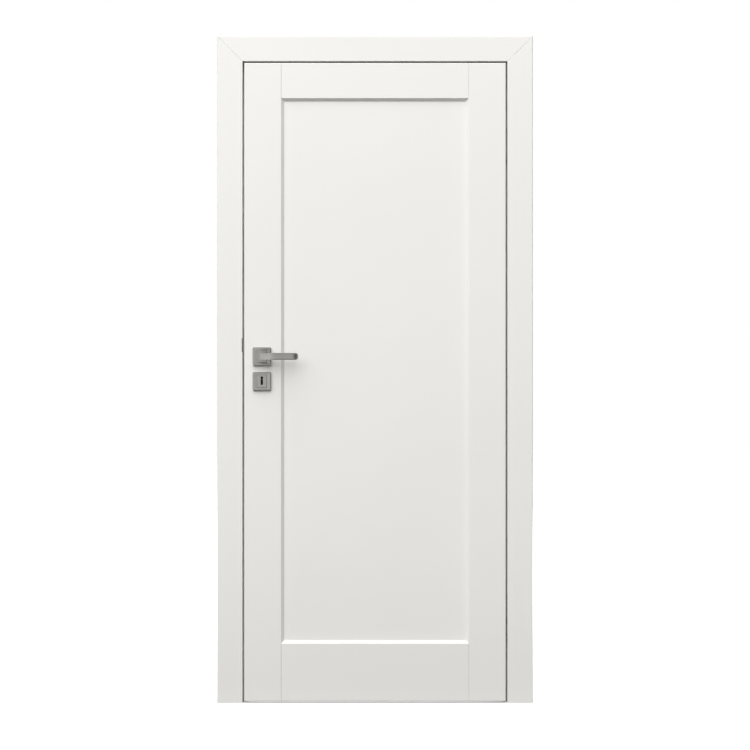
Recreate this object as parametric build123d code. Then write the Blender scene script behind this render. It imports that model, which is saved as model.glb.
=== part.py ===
from build123d import *
import os
from math import cos, radians, sin, sqrt, tan

# An interior room door in its wrap-round frame: a flush five-piece leaf on two concealed hinges, a mortise
# lock, a lever on a square rose and a key rose below it.
# Millimetres. While it is modelled, x = 0 is the middle of the doorway, y = 0 the front face of the leaf and
# casing, and z = 0 the floor. The viewer stands at -Y, the hinges are at +X.

# Leaf
LEAF_WIDTH = 825.0
LEAF_HEIGHT = 2013.0
LEAF_THICKNESS = 40.0
GAP = 5.0
STILE_WIDTH = 116.0
TOP_RAIL_HEIGHT = 111.0
BOTTOM_RAIL_HEIGHT = 182.0
PANEL_THICKNESS = 20.0
PANEL_PLAY = 1.0
MOULDING = 10.0
CLOSING_BEVEL = 1.2
LEAF_EDGE_RADIUS = 2.5
JOINT_WIDTH = 1.5
JOINT_DEPTH = 1.0

# Frame
CASING_WIDTH = 80.0
CASING_THICKNESS = 16.0
WALL_THICKNESS = 100.0
LINING_THICKNESS = 38.0
LINING_END = 100.0
STOP_FACE = 49.0
STOP_HEIGHT = 15.0
REAR_CASING_WIDTH = 80.0
TONGUE_THICKNESS = 12.0
TONGUE_SETBACK = 6.0
GROOVE_DEPTH = 24.0
TONGUE_PLAY = 2.0
OUTER_RADIUS = 3.0
INNER_RADIUS = 2.0
STOP_RADIUS = 1.0
MITRE_WIDTH = 1.2

# Seal strip
SEAL_SETBACK = 9.0
SEAL_RADIUS = 4.0
SEAL_STEM_WIDTH = 4.0
SEAL_STEM_DEPTH = 6.0

# Concealed hinges
PIVOT_IN_FRONT = 2.0
HINGE_INSET = 250.0
HINGE_LENGTH = 130.0
CUP_FRONT = 5.0
CUP_BACK = 36.5
CUP_DEPTH = 34.0
ARM_INNER = 30.0
ARM_OUTER = 35.0
ARM_START = 19.5
ARM_CLEARANCE = 1.0
ARM_END_CLEARANCE = 4.0
ARM_HEIGHTS = (40.0, 40.0)
ARM_SPACING = 10.0
ARM_PIN_DIAMETER = 4.0

# Lock, strike plate and bolts
LEVER_HEIGHT = 1092.5
KEY_ROSE_HEIGHT = 1014.5
BACKSET = 56.0
FACEPLATE_WIDTH = 22.0
FACEPLATE_LENGTH = 196.0
FACEPLATE_THICKNESS = 3.0
LOCK_MIDDLE = 1050.0
CASE_WIDTH = 16.0
CASE_LENGTH = 182.0
CASE_DEPTH = 78.0
FOLLOWER_DIAMETER = 12.4
KEYHOLE_HEAD = 8.4
KEYHOLE_WAIST = 5.6
KEYHOLE_WAIST_BOTTOM = 1018.0
KEYHOLE_SLOT = 7.2
KEYHOLE_BOTTOM = 1002.5
KEYHOLE_TOP = 1030.0
KEY_BORE_WIDTH = 14.0
KEY_BORE_MARGIN = 3.0
LATCH_HEIGHT = 1125.0
LATCH_SIZE = (12.0, 28.0)
LATCH_LENGTH = 34.0
DEAD_BOLT_HEIGHT = 978.0
DEAD_BOLT_SIZE = (9.0, 26.0)
DEAD_BOLT_LENGTH = 40.0
BOLT_PLAY = 0.3
STRIKE_LENGTH = 202.0
STRIKE_THICKNESS = 2.5
STRIKE_POCKET_DEPTH = 16.0
STRIKE_POCKET_PLAY = 1.0
STRIKE_BOX_WALL = 1.5
LIP_LENGTH = 44.0
LIP_REACH = 3.5
LIP_TOP = 1150.5

# Handles
ROSE_SIZE = 58.0
ROSE_THICKNESS = 10.0
ROSE_CORNER = 4.0
ROSE_EDGE_RADIUS = 3.0
ROSE_DISH = 51.0
ROSE_DISH_DEPTH = 1.4
FIELD_BEVEL = 1.2
LEVER_FIELD = (30.0, 38.0)
KEY_FIELD = (30.0, 40.0)
SPINDLE = 8.0
SPINDLE_ENTRY = 26.0
SPINDLE_BORE = 20.0
NECK_GAP = 0.5
NECK_LEFT = 4.5
NECK_WIDTH = 18.0
NECK_CORNER = 2.0
LEVER_REACH = 115.0
LEVER_OUT = 56.0
LEVER_BAR = 10.0
BAR_HEIGHT = 21.5
LEVER_BEND_AT = 32.0
LEVER_SET_BACK = 3.0
LEVER_NECK_BEND = 3.0
LEVER_INNER_BEND = 8.0
LEVER_TIP_BEND = 18.0
LEVER_TIP_CORNER = 8.0
LEVER_RETURN = 22.0
LEVER_EDGE_RADIUS = 1.5

# Values that follow from the sizes above
OPENING_WIDTH = LEAF_WIDTH + 2 * GAP
OPENING_HEIGHT = LEAF_HEIGHT + 2 * GAP
REBATE_X = OPENING_WIDTH / 2
FRAME_X = REBATE_X + CASING_WIDTH
FRAME_TOP = OPENING_HEIGHT + CASING_WIDTH
WALL_BACK = CASING_THICKNESS + WALL_THICKNESS
FRAME_BACK = WALL_BACK + CASING_THICKNESS
LEAF_X = LEAF_WIDTH / 2
LEAF_BOTTOM = GAP
LEAF_TOP = GAP + LEAF_HEIGHT
STILE_X = LEAF_X - STILE_WIDTH
PANEL_BOTTOM = LEAF_BOTTOM + BOTTOM_RAIL_HEIGHT
PANEL_TOP = LEAF_TOP - TOP_RAIL_HEIGHT
PANEL_BACK = MOULDING + PANEL_THICKNESS
PIVOT_X = REBATE_X - GAP / 2
PIVOT_Y = -PIVOT_IN_FRONT
HINGE_HEIGHTS = {"lower": LEAF_BOTTOM + HINGE_INSET, "upper": LEAF_TOP - HINGE_INSET}
CUP_MIDDLE = (CUP_FRONT + CUP_BACK) / 2
ARM_MIDDLE = (ARM_INNER + ARM_OUTER) / 2
ARM_STACK = sum(ARM_HEIGHTS) + (len(ARM_HEIGHTS) - 1) * ARM_SPACING
LOCK_Y = LEAF_THICKNESS / 2
SPINDLE_X = -LEAF_X + BACKSET
KEYHOLE_HEAD_Z = KEYHOLE_TOP - KEYHOLE_HEAD / 2
LATCH_EDGE_SLOPE = CLOSING_BEVEL / LEAF_THICKNESS

# The part's own origin is on the foot of the hinge-side jamb, in the middle of the lining's section
ORIGIN_X = REBATE_X + 20.0
ORIGIN_Y = 60.0

# How far a cutting shape runs past the face that it cuts, and how close an edge lies to be picked
OVERCUT = 1.0
EDGE_TOLERANCE = 0.01

FRONT_PLANE = Plane(origin=(0, 0, 0), x_dir=(1, 0, 0), z_dir=(0, -1, 0))


# Basic shapes
def block(x0, x1, y0, y1, z0, z1):
    """A box given by its limits along each axis."""
    size = Box(x1 - x0, y1 - y0, z1 - z0, align=(Align.MIN, Align.MIN, Align.MIN))
    return Pos(x0, y0, z0) * size


def upright(points, z0, z1):
    """A prism that stands on z0, with an outline of (x, y) points."""
    outline = Polyline(*points, close=True)
    return Pos(0, 0, z0) * extrude(make_face(outline), amount=z1 - z0)


def through(points, y0, y1):
    """A prism that runs from front to back, with an outline of (x, z) points."""
    outline = Polyline(*points, close=True)
    face = FRONT_PLANE * make_face(outline)
    return Pos(0, y1, 0) * extrude(face, amount=y1 - y0)


def rod(x, z, y0, y1, diameter):
    """A round rod that runs from front to back."""
    cylinder = Cylinder(diameter / 2, y1 - y0, align=(Align.CENTER, Align.CENTER, Align.MIN))
    return Pos(x, y1, z) * Rot(90, 0, 0) * cylinder


def mirrored(shape):
    """The same shape on the other side of the doorway."""
    return mirror(shape, about=Plane.YZ)


# Frame
def jamb_profile():
    """The section of jamb and head: casing, lining and stop in one, u outwards from the rebate face."""
    stop = -STOP_HEIGHT
    groove = stop + TONGUE_SETBACK
    seal = -SEAL_SETBACK
    points = [
        (0, 0),
        (CASING_WIDTH, 0),
        (CASING_WIDTH, CASING_THICKNESS),
        (LINING_THICKNESS, CASING_THICKNESS),
        (LINING_THICKNESS, LINING_END),
        (groove + TONGUE_THICKNESS, LINING_END),
        (groove + TONGUE_THICKNESS, LINING_END - GROOVE_DEPTH),
        (groove, LINING_END - GROOVE_DEPTH),
        (groove, LINING_END),
        (stop, LINING_END),
        (stop, STOP_FACE),
        (seal - SEAL_STEM_WIDTH / 2, STOP_FACE),
        (seal - SEAL_STEM_WIDTH / 2, STOP_FACE + SEAL_STEM_DEPTH),
        (seal + SEAL_STEM_WIDTH / 2, STOP_FACE + SEAL_STEM_DEPTH),
        (seal + SEAL_STEM_WIDTH / 2, STOP_FACE),
        (0, STOP_FACE),
    ]
    face = make_face(Polyline(*points, close=True))
    face = rounded(face, (0, 0), INNER_RADIUS)
    face = rounded(face, (CASING_WIDTH, 0), OUTER_RADIUS)
    face = rounded(face, (stop, STOP_FACE), STOP_RADIUS)
    return rounded(face, (stop, LINING_END), STOP_RADIUS)


def rounded(face, corner, radius):
    """A section with the corner nearest a point rounded."""
    nearest = min(face.vertices(), key=lambda v: (v.X - corner[0]) ** 2 + (v.Y - corner[1]) ** 2)
    return fillet(nearest, radius)


def rear_casing_profile():
    """The L-shaped section of the rear casing, whose tongue slides in the lining's groove."""
    inner = -STOP_HEIGHT + TONGUE_SETBACK
    points = [
        (inner, LINING_END - GROOVE_DEPTH + TONGUE_PLAY),
        (inner + TONGUE_THICKNESS, LINING_END - GROOVE_DEPTH + TONGUE_PLAY),
        (inner + TONGUE_THICKNESS, WALL_BACK),
        (inner + REAR_CASING_WIDTH, WALL_BACK),
        (inner + REAR_CASING_WIDTH, FRAME_BACK),
        (inner, FRAME_BACK),
    ]
    face = make_face(Polyline(*points, close=True))
    face = rounded(face, (inner, FRAME_BACK), INNER_RADIUS)
    return rounded(face, (inner + REAR_CASING_WIDTH, FRAME_BACK), OUTER_RADIUS)


def seal_profile():
    """The section of the seal strip: a stem in the stop and a half-round bulb in front of it."""
    middle = -SEAL_SETBACK
    stem = Pos(middle, STOP_FACE + SEAL_STEM_DEPTH / 2) * Rectangle(SEAL_STEM_WIDTH, SEAL_STEM_DEPTH)
    bulb = Pos(middle, STOP_FACE) * Circle(SEAL_RADIUS)
    behind = Pos(middle, STOP_FACE + SEAL_RADIUS) * Rectangle(2 * SEAL_RADIUS, 2 * SEAL_RADIUS)
    return stem + (bulb - behind)


def mitre_wedge():
    """Everything above the two mitres, which start at the frame's upper outer corners."""
    down = CASING_WIDTH + LINING_THICKNESS
    points = [
        (-FRAME_X - OVERCUT, FRAME_TOP + OVERCUT),
        (FRAME_X + OVERCUT, FRAME_TOP + OVERCUT),
        (FRAME_X - down, FRAME_TOP - down),
        (-FRAME_X + down, FRAME_TOP - down),
    ]
    return through(points, -OVERCUT, FRAME_BACK + OVERCUT)


def mitre_line(side, y_face, into):
    """A fine V cut along one mitre, at a front or rear face."""
    half = MITRE_WIDTH / 2
    wedge = extrude(
        make_face(Polyline((-half, 0), (half, 0), (0, into * half), close=True)),
        amount=2 * CASING_WIDTH * sqrt(2),
        both=True,
    )
    return Pos(side * FRAME_X, y_face, FRAME_TOP) * Rot(0, side * 45, 0) * wedge


def frame_run(profile, where):
    """One mitred length of a frame section: on the hinge jamb, the latch jamb or the head."""
    if where == "head":
        plane = Plane(origin=(FRAME_X, 0, OPENING_HEIGHT), x_dir=(0, 0, 1), z_dir=(-1, 0, 0))
        bar = extrude(plane * profile, amount=2 * FRAME_X)
        return bar & mitre_wedge()
    plane = Plane(origin=(REBATE_X, 0, 0), x_dir=(1, 0, 0), z_dir=(0, 0, 1))
    bar = extrude(plane * profile, amount=FRAME_TOP) - mitre_wedge()
    return bar if where == "hinge" else mirrored(bar)


def frame_pieces():
    """Jambs and head, the seals in their stops and the rear casings."""
    names = {"hinge": "hinge_jamb", "latch": "latch_jamb", "head": "head_jamb"}
    pieces = {}
    for where, name in names.items():
        jamb = frame_run(jamb_profile(), where)
        rear = frame_run(rear_casing_profile(), where)
        for side in (-1, 1):
            jamb -= mitre_line(side, 0, 1)
            rear -= mitre_line(side, FRAME_BACK, -1)
        pieces[name] = jamb
        pieces[f"{where}_rear_casing"] = rear
        pieces[f"{where}_seal"] = frame_run(seal_profile(), where)
    for z in HINGE_HEIGHTS.values():
        pieces["hinge_jamb"] -= cup_body(z)
    pieces["latch_jamb"] -= strike_recess()
    return pieces


# Concealed hinges
def arc_band(inner, outer, start, end, height):
    """A band round the hinge line, from one angle to another, upwards from z = 0."""
    a, b, middle = radians(start), radians(end), radians((start + end) / 2)

    def point(radius, angle):
        return (PIVOT_X + radius * cos(angle), PIVOT_Y + radius * sin(angle))

    outline = [
        ThreePointArc(point(outer, a), point(outer, middle), point(outer, b)),
        Line(point(outer, b), point(inner, b)),
        ThreePointArc(point(inner, b), point(inner, middle), point(inner, a)),
        Line(point(inner, a), point(outer, a)),
    ]
    return extrude(make_face(outline), amount=height)


def cup_body(z):
    """The housing sunk in the jamb at one hinge: a block with round ends."""
    width = CUP_BACK - CUP_FRONT
    plane = Plane(origin=(REBATE_X, CUP_MIDDLE, z), x_dir=(0, 0, 1), z_dir=(1, 0, 0))
    return extrude(plane * SlotOverall(HINGE_LENGTH, width), amount=CUP_DEPTH)


def frame_cup(z):
    """The jamb's housing with the curved slot that the arms run in."""
    slot = arc_band(
        ARM_INNER - ARM_CLEARANCE,
        ARM_OUTER + ARM_CLEARANCE,
        ARM_START - ARM_END_CLEARANCE,
        90,
        ARM_STACK + 2 * ARM_CLEARANCE,
    )
    return cup_body(z) - Pos(0, 0, z - ARM_STACK / 2 - ARM_CLEARANCE) * slot


def leaf_side(shape):
    """The same shape mirrored to the leaf's side of the hinge line."""
    return mirror(shape, about=Plane(origin=(PIVOT_X, 0, 0), z_dir=(1, 0, 0)))


def hinge_arms(z):
    """The curved arms of one hinge, one above the other on one pin."""
    level = z - ARM_STACK / 2
    pin = Pos(PIVOT_X, PIVOT_Y + ARM_MIDDLE, z) * Cylinder(ARM_PIN_DIAMETER / 2, ARM_STACK)
    arms = pin
    for height in ARM_HEIGHTS:
        arms += Pos(0, 0, level) * arc_band(ARM_INNER, ARM_OUTER, ARM_START, 180 - ARM_START, height)
        level += height + ARM_SPACING
    return arms


# Leaf
def stile_profile():
    """The section of a stile: u inwards from the leaf's outer edge, with a moulding and a panel groove."""
    foot = STILE_WIDTH + MOULDING
    return [
        (0, 0),
        (STILE_WIDTH, 0),
        (foot, MOULDING),
        (STILE_WIDTH, MOULDING),
        (STILE_WIDTH, PANEL_BACK),
        (foot, PANEL_BACK),
        (STILE_WIDTH, LEAF_THICKNESS),
        (0, LEAF_THICKNESS),
    ]


def stile(side):
    """One upright of the leaf. The closing stile's edge is bevelled so that it clears the jamb."""
    points = [(side * (LEAF_X - u), y) for u, y in stile_profile()]
    if side < 0:
        points[-1] = (points[-1][0] + CLOSING_BEVEL, LEAF_THICKNESS)
    body = upright(points, LEAF_BOTTOM, LEAF_TOP)
    uprights = body.edges().filter_by(Axis.Z)
    outer = [edge for edge in uprights if side * edge.center().X > LEAF_X - 2 * CLOSING_BEVEL]
    ends = [
        edge
        for edge in body.edges().filter_by(Axis.X)
        if min(edge.center().Y, LEAF_THICKNESS - edge.center().Y) < EDGE_TOLERANCE
    ]
    return fillet(outer + ends, LEAF_EDGE_RADIUS)


def moulding_prisms(side):
    """What a stile's mouldings take from the end of a rail, with the fine V at the joint."""
    x = side * STILE_X
    foot = side * (STILE_X - MOULDING)
    ridge = side * (STILE_X - JOINT_WIDTH)
    groove = side * (STILE_X - JOINT_DEPTH)
    moulding = [(x, 0), (foot, MOULDING), (x, MOULDING)]
    v_cut = [(x, -OVERCUT), (ridge, -OVERCUT), (ridge, 0), (groove, JOINT_DEPTH), (x, 0)]
    bottom = LEAF_BOTTOM - OVERCUT
    top = LEAF_TOP + OVERCUT
    both = upright(moulding, bottom, top) + upright(v_cut, bottom, top)
    return both + mirror(both, about=Plane(origin=(0, LEAF_THICKNESS / 2, 0), z_dir=(0, 1, 0)))


def rail(z0, z1, panel_side):
    """A rail between the stiles, coped over their mouldings, with its own moulding along the panel."""
    inner = z0 if panel_side < 0 else z1
    outer = z1 if panel_side < 0 else z0
    foot = inner + panel_side * MOULDING
    points = [
        (0, outer),
        (0, inner),
        (MOULDING, foot),
        (MOULDING, inner),
        (PANEL_BACK, inner),
        (PANEL_BACK, foot),
        (LEAF_THICKNESS, inner),
        (LEAF_THICKNESS, outer),
    ]
    plane = Plane(origin=(-STILE_X, 0, 0), x_dir=(0, 1, 0), z_dir=(1, 0, 0))
    bar = extrude(plane * make_face(Polyline(*points, close=True)), amount=2 * STILE_X)
    lengthways = bar.edges().filter_by(Axis.X)
    outer_edges = [edge for edge in lengthways if abs(edge.center().Z - outer) < EDGE_TOLERANCE]
    return fillet(outer_edges, LEAF_EDGE_RADIUS) - moulding_prisms(-1) - moulding_prisms(1)


def panel():
    """The flat field, which floats in the groove all round."""
    half = STILE_X - PANEL_PLAY
    return block(
        -half,
        half,
        MOULDING,
        PANEL_BACK,
        PANEL_BOTTOM + PANEL_PLAY,
        PANEL_TOP - PANEL_PLAY,
    )


def leaf_pieces():
    """Stiles, rails and panel, with the mortises for hinges and lock."""
    hinge_stile = stile(1)
    for z in HINGE_HEIGHTS.values():
        hinge_stile -= leaf_side(cup_body(z))
    latch_stile = stile(-1) - lock_mortise()
    return {
        "hinge_stile": hinge_stile,
        "latch_stile": latch_stile,
        "top_rail": rail(PANEL_TOP, LEAF_TOP, -1),
        "bottom_rail": rail(LEAF_BOTTOM, PANEL_BOTTOM, 1),
        "panel": panel(),
    }


# Lock and strike
def edge_x(y):
    """Where the leaf's bevelled closing edge lies at a depth y."""
    return -LEAF_X + LATCH_EDGE_SLOPE * y


def edge_plate(depth, grow=0.0):
    """A plate let into the closing edge, with round ends, parallel to the bevelled edge."""
    low = LOCK_Y - FACEPLATE_WIDTH / 2 - grow
    high = LOCK_Y + FACEPLATE_WIDTH / 2 + grow
    length = FACEPLATE_LENGTH + 2 * grow
    z0 = LOCK_MIDDLE - length / 2
    points = [
        (edge_x(low), low),
        (edge_x(low) + depth, low),
        (edge_x(high) + depth, high),
        (edge_x(high), high),
    ]
    blank = upright(points, z0, z0 + length)
    plane = Plane(origin=(-REBATE_X, LOCK_Y, LOCK_MIDDLE), x_dir=(0, 0, 1), z_dir=(1, 0, 0))
    return blank & extrude(plane * SlotOverall(length, FACEPLATE_WIDTH + 2 * grow), amount=STILE_WIDTH)


def case_body():
    """The lock's case behind the faceplate."""
    x0 = edge_x(LOCK_Y) + FACEPLATE_THICKNESS
    return block(
        x0 - OVERCUT,
        x0 + CASE_DEPTH,
        LOCK_Y - CASE_WIDTH / 2,
        LOCK_Y + CASE_WIDTH / 2,
        LOCK_MIDDLE - CASE_LENGTH / 2,
        LOCK_MIDDLE + CASE_LENGTH / 2,
    )


def bolt(size, height, length, play=0.0):
    """A latch or dead bolt that lies flush in the faceplate, or with play, the tunnel that it slides in."""
    width, tall = size
    low = LOCK_Y - width / 2 - play
    high = LOCK_Y + width / 2 + play
    points = [
        (edge_x(low) - 2 * play, low),
        (edge_x(LOCK_Y) + length + 2 * play, low),
        (edge_x(LOCK_Y) + length + 2 * play, high),
        (edge_x(high) - 2 * play, high),
    ]
    return upright(points, height - tall / 2, height + tall / 2)


def keyhole(y0, y1):
    """The keyhole from front to back: a round head, a waist and a slot with a round foot."""
    x = SPINDLE_X
    foot = KEYHOLE_SLOT / 2
    head = rod(x, KEYHOLE_HEAD_Z, y0, y1, KEYHOLE_HEAD)
    half = KEYHOLE_WAIST / 2
    waist = block(x - half, x + half, y0, y1, KEYHOLE_WAIST_BOTTOM - OVERCUT, KEYHOLE_HEAD_Z)
    slot = block(x - foot, x + foot, y0, y1, KEYHOLE_BOTTOM + foot, KEYHOLE_WAIST_BOTTOM)
    return head + waist + slot + rod(x, KEYHOLE_BOTTOM + foot, y0, y1, KEYHOLE_SLOT)


def lock_mortise():
    """What the closing stile loses to the lock, the spindle and the key."""
    wide = KEY_BORE_WIDTH / 2
    front = -OVERCUT
    back = LEAF_THICKNESS + OVERCUT
    bottom = KEYHOLE_BOTTOM - KEY_BORE_MARGIN
    top = KEYHOLE_TOP + KEY_BORE_MARGIN
    key_bore = block(SPINDLE_X - wide, SPINDLE_X + wide, front, back, bottom, top)
    spindle_bore = rod(SPINDLE_X, LEVER_HEIGHT, front, back, SPINDLE_BORE)
    return edge_plate(FACEPLATE_THICKNESS) + case_body() + key_bore + spindle_bore


def lock_pieces():
    """Lock case with its faceplate, and the latch and dead bolt drawn back in it."""
    case = edge_plate(FACEPLATE_THICKNESS) + (case_body() & case_limit())
    case -= rod(SPINDLE_X, LEVER_HEIGHT, 0, LEAF_THICKNESS, FOLLOWER_DIAMETER)
    case -= keyhole(0, LEAF_THICKNESS)
    case -= bolt(LATCH_SIZE, LATCH_HEIGHT, LATCH_LENGTH, BOLT_PLAY)
    case -= bolt(DEAD_BOLT_SIZE, DEAD_BOLT_HEIGHT, DEAD_BOLT_LENGTH, BOLT_PLAY)
    return {
        "lock_case": case,
        "latch_bolt": bolt(LATCH_SIZE, LATCH_HEIGHT, LATCH_LENGTH),
        "dead_bolt": bolt(DEAD_BOLT_SIZE, DEAD_BOLT_HEIGHT, DEAD_BOLT_LENGTH),
    }


def case_limit():
    """The space behind the middle of the faceplate's thickness."""
    back = LEAF_THICKNESS
    inset = FACEPLATE_THICKNESS / 2
    points = [(edge_x(0) + inset, 0), (LEAF_X, 0), (LEAF_X, back), (edge_x(back) + inset, back)]
    return upright(points, LEAF_BOTTOM, LEAF_TOP)


def strike_plate_body(depth):
    """The strike plate's outline on the latch jamb, with round ends, and its lip round the casing's edge."""
    plane = Plane(origin=(-REBATE_X, LOCK_Y, LOCK_MIDDLE), x_dir=(0, 0, 1), z_dir=(-1, 0, 0))
    plate = extrude(plane * SlotOverall(STRIKE_LENGTH, FACEPLATE_WIDTH), amount=depth)
    lip = block(-REBATE_X - LIP_REACH, -REBATE_X, 0, LOCK_Y, LIP_TOP - LIP_LENGTH, LIP_TOP)
    return plate + lip


def strike_pocket(size, height, grow=0.0):
    """The hollow behind the strike plate that one bolt enters."""
    wide = size[0] / 2 + STRIKE_POCKET_PLAY + grow
    high = size[1] / 2 + STRIKE_POCKET_PLAY + grow
    inner = -REBATE_X - STRIKE_POCKET_DEPTH - grow
    return block(inner, -REBATE_X + OVERCUT, LOCK_Y - wide, LOCK_Y + wide, height - high, height + high)


def strike_pockets(grow=0.0):
    """Both pockets: the latch's and the dead bolt's."""
    latch = strike_pocket(LATCH_SIZE, LATCH_HEIGHT, grow)
    return latch + strike_pocket(DEAD_BOLT_SIZE, DEAD_BOLT_HEIGHT, grow)


def strike_recess():
    """What the latch jamb loses to the strike plate and its boxes."""
    return strike_plate_body(STRIKE_THICKNESS) + strike_pockets(STRIKE_BOX_WALL)


def strike_plate():
    """The plate with a lip, and a box behind each of its two holes."""
    lip_edge = [
        edge
        for edge in strike_plate_body(STRIKE_THICKNESS).edges()
        if abs(edge.center().Y) < EDGE_TOLERANCE and abs(edge.center().X + REBATE_X) < EDGE_TOLERANCE
    ]
    plate = fillet(lip_edge, INNER_RADIUS)
    boxes = strike_pockets(STRIKE_BOX_WALL) & block(-FRAME_X, -REBATE_X, 0, STOP_FACE, 0, LEAF_TOP)
    return plate + boxes - strike_pockets()


# Handles
def rose(z, field):
    """A square rose on the leaf's front: a rounded rim, four mitred slopes and a raised field inside them."""
    outline = FRONT_PLANE * RectangleRounded(ROSE_SIZE, ROSE_SIZE, ROSE_CORNER)
    blank = extrude(outline, amount=ROSE_THICKNESS)
    blank = fillet(blank.faces().sort_by(Axis.Y)[0].edges(), ROSE_EDGE_RADIUS)
    front = FRONT_PLANE.offset(ROSE_THICKNESS)
    floor = FRONT_PLANE.offset(ROSE_THICKNESS - ROSE_DISH_DEPTH)
    width, height = field
    foot = floor * Rectangle(width, height)
    dish = loft([front * Rectangle(ROSE_DISH, ROSE_DISH), foot], ruled=True)
    crown = front * Rectangle(width - 2 * FIELD_BEVEL, height - 2 * FIELD_BEVEL)
    raised = loft([foot, crown], ruled=True)
    return Pos(SPINDLE_X, 0, z) * (blank - dish + raised)


def leaf_back(shape):
    """The same shape turned to the leaf's other face."""
    return mirror(shape, about=Plane(origin=(0, LEAF_THICKNESS / 2, 0), z_dir=(0, 1, 0)))


def lever_plan():
    """The lever seen from above: a neck, a bar that leans back a little and a tip that turns back to the leaf."""
    left = -NECK_LEFT
    right = left + NECK_WIDTH
    back = -(ROSE_THICKNESS + NECK_GAP)
    face = -LEVER_OUT
    inside = face + LEVER_BAR
    tip = LEVER_REACH
    tip_inside = tip - LEVER_BAR
    tip_back = face + LEVER_SET_BACK + LEVER_RETURN
    bends = {
        (left, face): LEVER_NECK_BEND,
        (tip, face + LEVER_SET_BACK): LEVER_TIP_BEND,
        (tip_inside, inside + LEVER_SET_BACK): LEVER_INNER_BEND,
        (right, inside): LEVER_INNER_BEND,
    }
    outer = [(left, back), (left, face), (LEVER_BEND_AT, face), (tip, face + LEVER_SET_BACK), (tip, tip_back)]
    inner = [(tip_inside, tip_back), (tip_inside, inside + LEVER_SET_BACK), (LEVER_BEND_AT, inside)]
    face = make_face(Polyline(*outer, *inner, (right, inside), (right, back), close=True))
    for corner, radius in bends.items():
        face = rounded(face, corner, radius)
    return face


def lever_front():
    """The lever seen from the front, through its whole depth: a bar whose end is rounded."""
    length = NECK_LEFT + LEVER_REACH
    face = Pos(LEVER_REACH - length / 2, 0) * Rectangle(length, BAR_HEIGHT)
    for side in (-1, 1):
        face = rounded(face, (LEVER_REACH, side * BAR_HEIGHT / 2), LEVER_TIP_CORNER)
        face = rounded(face, (-NECK_LEFT, side * BAR_HEIGHT / 2), NECK_CORNER)
    return extrude(FRONT_PLANE * face, amount=2 * LEVER_OUT)


def lever():
    """The front lever, with a square socket for the spindle in its neck."""
    back = -(ROSE_THICKNESS + NECK_GAP)
    bar = Pos(0, 0, -BAR_HEIGHT / 2) * extrude(lever_plan(), amount=BAR_HEIGHT)
    rims = [
        edge
        for edge in bar.edges()
        if is_long_rim(edge.center(), back)
    ]
    bar = fillet(rims, LEVER_EDGE_RADIUS) & lever_front()
    half = SPINDLE / 2
    socket = block(-half, half, back - SPINDLE_ENTRY, back + OVERCUT, -half, half)
    return Pos(SPINDLE_X, 0, LEVER_HEIGHT) * (bar - socket)


def is_long_rim(point, back):
    """Whether a point on an edge of the bar lies on its upper or lower rim, clear of the neck's end."""
    return abs(point.Z) > BAR_HEIGHT / 2 - EDGE_TOLERANCE and point.X > 0 and point.Y < back - EDGE_TOLERANCE


def spindle():
    """The square bar that joins both levers through the lock."""
    end = ROSE_THICKNESS + NECK_GAP + SPINDLE_ENTRY
    half = SPINDLE / 2
    return block(
        SPINDLE_X - half,
        SPINDLE_X + half,
        -end,
        LEAF_THICKNESS + end,
        LEVER_HEIGHT - half,
        LEVER_HEIGHT + half,
    )


def handle_pieces():
    """Roses, levers and spindle, alike on both faces of the leaf."""
    front_end = -ROSE_THICKNESS - OVERCUT
    bore = rod(SPINDLE_X, LEVER_HEIGHT, front_end, OVERCUT, FOLLOWER_DIAMETER)
    handle_rose = rose(LEVER_HEIGHT, LEVER_FIELD) - bore
    key_rose = rose(KEY_ROSE_HEIGHT, KEY_FIELD) - keyhole(front_end, OVERCUT)
    front = lever()
    return {
        "front_handle_rose": handle_rose,
        "back_handle_rose": leaf_back(handle_rose),
        "front_key_rose": key_rose,
        "back_key_rose": leaf_back(key_rose),
        "front_lever": front,
        "back_lever": leaf_back(front),
        "spindle": spindle(),
    }


def hinge_pieces():
    """Housings and arms of both hinges."""
    pieces = {}
    for name, z in HINGE_HEIGHTS.items():
        cup = frame_cup(z)
        pieces[f"{name}_hinge_frame_cup"] = cup
        pieces[f"{name}_hinge_leaf_cup"] = leaf_side(cup)
        pieces[f"{name}_hinge_arms"] = hinge_arms(z)
    return pieces


def main():
    """Build every piece and write each to its own file."""
    os.makedirs("parts", exist_ok=True)
    pieces = frame_pieces() | leaf_pieces() | hinge_pieces() | lock_pieces() | handle_pieces()
    pieces["strike_plate"] = strike_plate()
    for name, shape in pieces.items():
        export_step(Pos(-ORIGIN_X, -ORIGIN_Y, 0) * shape, f"parts/{name}.step")


main()
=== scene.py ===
import logging
import math
from collections.abc import Sequence
from dataclasses import dataclass, field, replace
from enum import Enum

import bpy
import numpy as np
from mathutils import Matrix, Vector


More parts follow.
